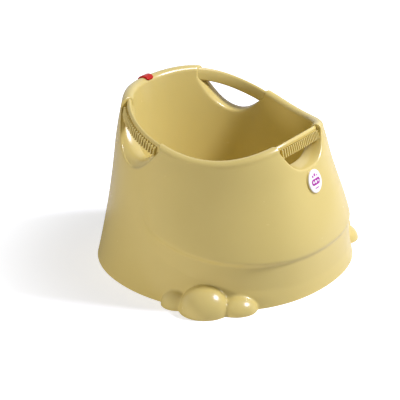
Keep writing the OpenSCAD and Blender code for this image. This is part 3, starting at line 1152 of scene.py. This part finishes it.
def make_clip():
    m, n = clip_rows, clip_columns
    inset = 1 - np.maximum(np.abs(np.linspace(-1, 1, m))[:, None], np.abs(np.linspace(-1, 1, n)))
    rounded = np.sqrt(1 - (1 - np.clip(inset / edge_share, 0, 1)) ** 2)
    lift = clip_t * lerp(edge_least, 1, rounded)
    quads = []
    for j in range(m - 1):
        for k in range(n - 1):
            quad = [j * n + k, j * n + k + 1, (j + 1) * n + k + 1, (j + 1) * n + k]
            quads += [[v + m * n for v in quad[::-1]], quad]
    ring = list(range(n)) + [j * n + n - 1 for j in range(1, m)]
    ring += [(m - 1) * n + k for k in range(n - 2, -1, -1)] + [j * n for j in range(m - 2, 0, -1)]
    for near, far in zip(ring, ring[1:] + ring[:1]):
        quads.append([far, near, near + m * n, far + m * n])
    skins = [clip_skin(clip_gap), clip_skin(clip_gap + lift)]
    return mesh_object("clip", np.vstack(skins), quads, sharp_deg=55)


clip = make_clip()
finish_piece(clip, "red_plastic", red_plastic, "rim_clip")
print("clip has", len(clip.data.polygons), "faces")

# %% [markdown]
# ## Drain plug, feet and mat
#
# The plug is a stem with a flange and a tab to pull it by. The feet are rubber discs with a chamfer at
# the floor. The mat is a thin disc cut straight at the front, with rows of small dots.

# %% Drain plug
drain_y = 62.0
tab_size = (14.0, 3.4, 20.5)
tab_z = 42.4
stopper = [(13.8, 26.0), (14.6, 33.9), (19.0, 34.05), (19.0, 35.6), (18.6, 36.2), (17.9, 36.5)]
plug = turned("drain_plug", stopper, Matrix.Translation((0, -drain_y, 0)))
tab = rounded_box("tab", tab_size, rounding=1.5, steps=4)
tab.data.transform(Matrix.Translation(Vector((0, -drain_y, tab_z)) * MM))
join(plug, [tab])
finish_piece(plug, "soft_rubber", rubber, "drain_plug")
print("plug top at", tab_z + tab_size[2] / 2)

# %% Feet
foot_profile = [(11.0, 0.0), (15.0, 0.0), (16.0, 1.0), (16.0, 5.95)]
foot_names = {(-1, -1): "foot_front_left", (1, -1): "foot_front_right",
              (-1, 1): "foot_back_left", (1, 1): "foot_back_right"}
for (x, y), name in foot_names.items():
    foot = turned(name, foot_profile, Matrix.Translation((x * foot_at, y * foot_at, 0)), segments=48)
    finish_piece(foot, "soft_rubber", rubber, name)
print("four feet")

# %% Mat
mat_r = 92.0
mat_front = -37.0
mat_low = 34.3
mat_high = 36.2
dot_r = 2.4
dot_h = 1.0
dot_step = 11.0
dot_row = 0.866
dot_count = 9
dot_margin = 7.0
dot_sink = 0.5


def mat_ring(inset, height):
    """The mat's outline, moved inwards, at a height"""
    radius = mat_r - inset
    low = mat_front + inset
    start = math.degrees(math.asin(low / radius))
    angles = np.radians(np.linspace(start, 180 - start, 97))
    return [[radius * math.cos(a), radius * math.sin(a), height] for a in angles]


mat_edge = [(0, mat_low), (0, mat_high - 0.6), (0.2, mat_high - 0.15), (0.7, mat_high)]
mat_rings = [mat_ring(*row) for row in mat_edge]
mat_faces = ring_faces(len(mat_rings), len(mat_rings[0]))
mat = mesh_object("mat", np.vstack(mat_rings), mat_faces, sharp_deg=50)
dots_group, given = node_group("Mat dots", [
    ("Places", "NodeSocketGeometry", None), ("Dot radius", "NodeSocketFloat", dot_r * MM),
    ("Dot height", "NodeSocketFloat", dot_h * MM), ("Material", "NodeSocketMaterial", None),
])
ball = add(dots_group, "GeometryNodeMeshIcoSphere", {"Radius": given["Dot radius"], "Subdivisions": 3})
ratio = add(dots_group, "ShaderNodeMath", {0: given["Dot height"], 1: given["Dot radius"]},
            operation="DIVIDE")
squash = add(dots_group, "ShaderNodeCombineXYZ", {"X": 1.0, "Y": 1.0, "Z": ratio})
flat_ball = add(dots_group, "GeometryNodeTransform", {"Geometry": ball, "Scale": squash})
finish_group(dots_group, given, given["Places"], flat_ball)
spots = []
for j in range(-dot_count, dot_count + 1):
    for k in range(-dot_count, dot_count + 1):
        x, y = dot_step * (k + 0.5 * (j % 2)), dot_step * dot_row * j
        if math.hypot(x, y) < mat_r - dot_margin and y > mat_front + dot_margin:
            spots.append([x, y, mat_high - dot_sink])
dots = mesh_object("dots", spots, [])
finish_nodes(dots, dots_group, {"Material": rubber})
join(mat, [dots])
finish_piece(mat, "soft_rubber", rubber, "seat_mat")
print("mat with", len(spots), "dots")

# %% [markdown]
# ## Picture
#
# The camera stands at the front left with a long lens and looks down by 22 degrees, as a product
# photographer would place it. The tub stands on a sweep of white paper.

# %% Camera
look_at = Vector((5.6, 47.5, 84.4)) * MM
view_back = Vector((-0.7774, -0.5064, 0.3730))
view_distance = 2.58
camera = bpy.data.objects.new("camera", bpy.data.cameras.new("camera"))
camera.data.lens = 136.9
camera.data.sensor_width = 36
camera.location = look_at + view_back * view_distance
camera.rotation_euler = view_back.to_track_quat("Z", "Y").to_euler()
bpy.context.scene.collection.objects.link(camera)
bpy.context.scene.camera = camera
bpy.context.scene.view_settings.view_transform = "Standard"
print("camera at", [round(v, 2) for v in camera.location])

# %% Floor
floor_half = 9000.0
painted_light_near = 240.0
painted_light_far = 480.0
floor_corners = [[x * floor_half, y * floor_half, 0] for x, y in ((-1, -1), (1, -1), (1, 1), (-1, 1))]
floor = mesh_object("floor", floor_corners, [[0, 1, 2, 3]])
paper, tree = new_material("white paper sweep")
seen = add(tree, "ShaderNodeLightPath").outputs["Is Camera Ray"]
place = add(tree, "ShaderNodeTexCoord").outputs["Object"]
away = add(tree, "ShaderNodeVectorMath", {0: place}, operation="LENGTH")
# Painted light: seen by the camera, the floor glows more the farther it lies from the tub, from 0.6 close
# by to 0.94 farther out, so that the tub's cast shadow fades away.
rise = add(tree, "ShaderNodeMapRange", {
    "Value": away.outputs["Value"], "From Min": painted_light_near * MM, "From Max": painted_light_far * MM,
    "To Min": 0.6, "To Max": 0.94}, interpolation_type="SMOOTHSTEP")
lift = add(tree, "ShaderNodeMath", {0: seen, 1: rise}, operation="MULTIPLY")
glow = add(tree, "ShaderNodeEmission", {"Color": (0.97, 0.99, 1.03, 1), "Strength": lift})
matt = add(tree, "ShaderNodeBsdfDiffuse", {"Color": (0.8, 0.8, 0.8, 1)})
both = add(tree, "ShaderNodeAddShader", {0: glow, 1: matt})
add(tree, "ShaderNodeOutputMaterial", {"Surface": both})
floor.data.materials.append(paper)
print("floor of", paper.name)

# %% [markdown]
# ## Light
#
# A small cool key stands high at the front right and gives the glints and the shadow. A low fill at the
# left lights the shaded side of the skirt and hardly gets into the basin, so the basin stays deep. The
# world is dim and warm for the plastic, and plain white where the camera or a reflection sees it.

# %% Lights


def soft_light(name, direction, distance, size, watts, colour):
    """A round lamp that faces the tub from a direction, with its distance and width in metres"""
    lamp = bpy.data.lights.new(name, "AREA")
    lamp.shape = "DISK"
    lamp.size = size
    lamp.energy = watts
    lamp.color = colour
    made = bpy.data.objects.new(name, lamp)
    way = Vector(direction).normalized()
    made.location = look_at + way * distance
    made.rotation_euler = way.to_track_quat("Z", "Y").to_euler()
    bpy.context.scene.collection.objects.link(made)
    return made


soft_light("key", (0.44, -0.67, 0.81), distance=1.8, size=0.4, watts=32, colour=(1.0, 1.0, 1.2))
fill = soft_light("fill", (-0.93, 0.32, 0.03), distance=2.5, size=0.6, watts=31, colour=(1.0, 0.95, 1.12))
fill.visible_glossy = False
print("lamps:", [lamp.name for lamp in bpy.data.lights])

# %% World
world = bpy.data.worlds.new("studio")
world.use_nodes = True
bpy.context.scene.world = world
world.node_tree.nodes.clear()
tree = world.node_tree
path = add(tree, "ShaderNodeLightPath").outputs
plain = add(tree, "ShaderNodeMath", {0: path["Is Camera Ray"], 1: path["Is Glossy Ray"]},
            operation="MAXIMUM")
level = add(tree, "ShaderNodeMapRange", {"Value": plain, "To Min": 0.2, "To Max": 1.0})
tint = mix(tree, plain, (1, 0.94, 0.82, 1), (1, 1, 1, 1))
sky = add(tree, "ShaderNodeBackground", {"Color": tint, "Strength": level})
add(tree, "ShaderNodeOutputWorld", {"Surface": sky})
print("world of", len(tree.nodes), "nodes")
